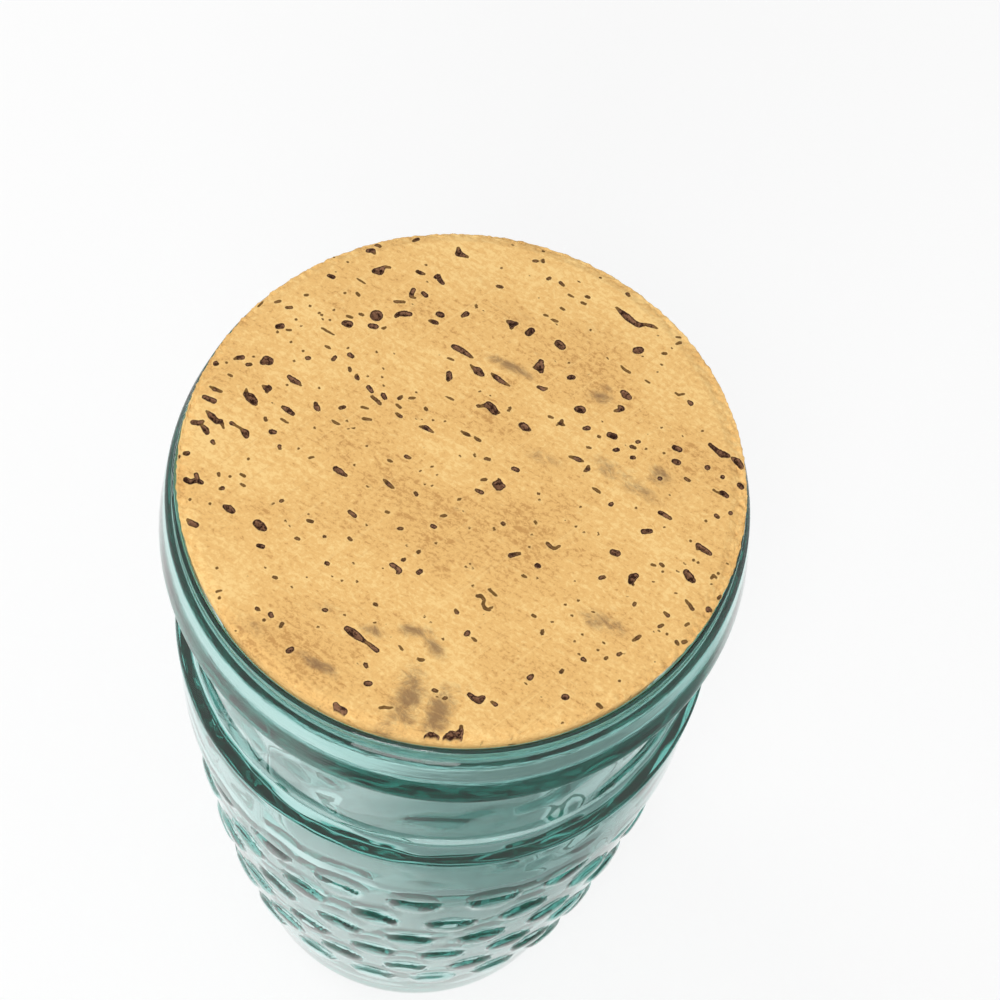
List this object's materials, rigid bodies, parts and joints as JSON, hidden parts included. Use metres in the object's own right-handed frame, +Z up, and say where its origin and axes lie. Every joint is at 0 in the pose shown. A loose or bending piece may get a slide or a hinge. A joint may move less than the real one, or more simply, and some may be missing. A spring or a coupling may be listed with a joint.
{
  "type": "glass jar with cork lid",
  "caption": "Round storage jar of thick sea-green glass with raised ovals on its body, closed by a tapered cork lid that lifts straight out.",
  "frame": {"origin": "centre of the jar's standing ring, on the surface that it stands on", "axes": "+Z up along the jar's axis, the way the lid lifts; X and Y are alike"},
  "size_m": [0.1082, 0.1082, 0.22],
  "materials": {
    "sea_green_glass": "clear pressed glass, fire polished",
    "natural_cork": "sawn natural cork with dark pores, unsealed"
  },
  "bodies": {
    "jar": {"glass_jar": "sea_green_glass"},
    "lid": {"cork_lid": "natural_cork"}
  },
  "joints": [
    {"name": "lid_lift", "type": "slide", "parent": "jar", "child": "lid", "axis": [0, 0, 1], "range_m": [0, 0.06]}
  ]
}
